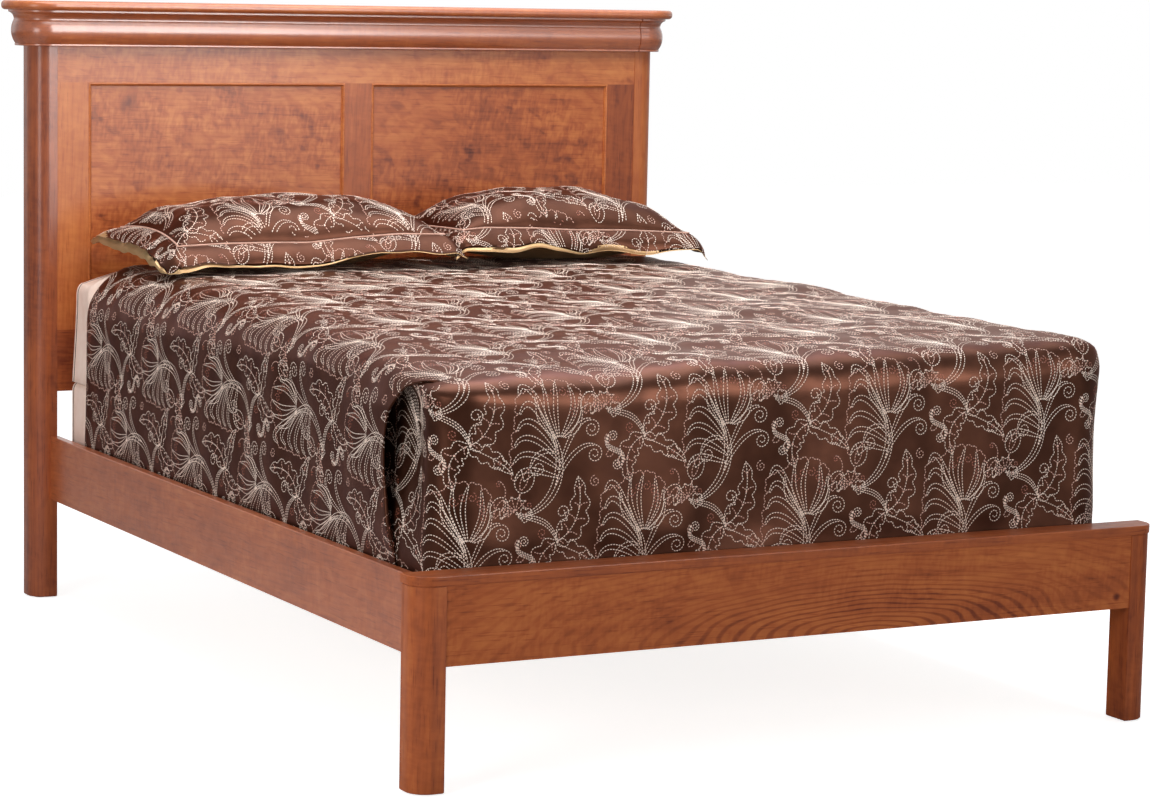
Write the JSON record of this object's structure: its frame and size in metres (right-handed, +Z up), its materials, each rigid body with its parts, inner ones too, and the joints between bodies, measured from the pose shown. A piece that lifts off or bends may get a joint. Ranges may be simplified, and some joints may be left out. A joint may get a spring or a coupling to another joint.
{
  "type": "panel bed",
  "caption": "Queen panel bed of stained maple: headboard with flat panels and a capped crown, low footboard, side rails, slats, box spring, mattress, coverlet and shams",
  "frame": {"origin": "on the floor, in the middle of the bed's overall width and length", "axes": "+X across the bed to the right as seen from the foot, +Y from the foot to the head, +Z up"},
  "size_m": [1.794, 2.2106, 1.428],
  "materials": {
    "stained_maple": "satin",
    "plain_wood": "matte",
    "zinc_steel": "satin",
    "glide_plastic": "matte",
    "box_spring_ticking": "matte",
    "mattress_ticking": "matte",
    "cream_sateen": "satin",
    "brown_satin": "satin"
  },
  "bodies": {
    "bedstead": {"cap_screws": "zinc_steel", "center_leg_head": "plain_wood", "center_leg_middle": "plain_wood", "cleat_screws": "zinc_steel", "crown_corner_left": "stained_maple", "crown_corner_right": "stained_maple", "crown_molding": "stained_maple", "foot_glides": "glide_plastic", "footboard_cap": "stained_maple", "footboard_cap_cleat": "plain_wood", "footboard_post_left": "stained_maple", "footboard_post_right": "stained_maple", "footboard_rail": "stained_maple", "headboard_bottom_rail": "stained_maple", "headboard_cap": "stained_maple", "headboard_cap_cleat": "plain_wood", "headboard_center_stile": "stained_maple", "headboard_panel_left": "stained_maple", "headboard_panel_right": "stained_maple", "headboard_post_left": "stained_maple", "headboard_post_right": "stained_maple", "headboard_stile_left": "stained_maple", "headboard_stile_right": "stained_maple", "headboard_top_rail": "stained_maple", "hook_screws": "zinc_steel", "panel_molding_left": "stained_maple", "panel_molding_right": "stained_maple", "post_plates": "zinc_steel", "rail_cleat_left": "plain_wood", "rail_cleat_right": "plain_wood", "rail_hooks": "zinc_steel", "side_rail_left": "stained_maple", "side_rail_right": "stained_maple", "slat_1": "plain_wood", "slat_2": "plain_wood", "slat_3": "plain_wood", "slat_4": "plain_wood", "slat_5": "plain_wood", "slat_6": "plain_wood", "slat_screws": "zinc_steel"},
    "box_spring": {"box_spring": "box_spring_ticking"},
    "mattress": {"mattress": "mattress_ticking", "fitted_sheet": "cream_sateen", "coverlet": "brown_satin"},
    "pillow_right": {"pillow_right": "brown_satin"},
    "pillow_left": {"pillow_left": "brown_satin"}
  },
  "joints": [
    {"name": "box_spring_lift", "type": "slide", "parent": "bedstead", "child": "box_spring", "axis": [0, 0, 1], "range_m": [0, 0.1]},
    {"name": "mattress_lift", "type": "slide", "parent": "box_spring", "child": "mattress", "axis": [0, 0, 1], "range_m": [0, 0.08]},
    {"name": "pillow_right_lift", "type": "slide", "parent": "mattress", "child": "pillow_right", "axis": [0, 0, 1], "range_m": [0, 0.06]},
    {"name": "pillow_left_lift", "type": "slide", "parent": "pillow_right", "child": "pillow_left", "axis": [0, 0, 1], "range_m": [0, 0.06]}
  ]
}
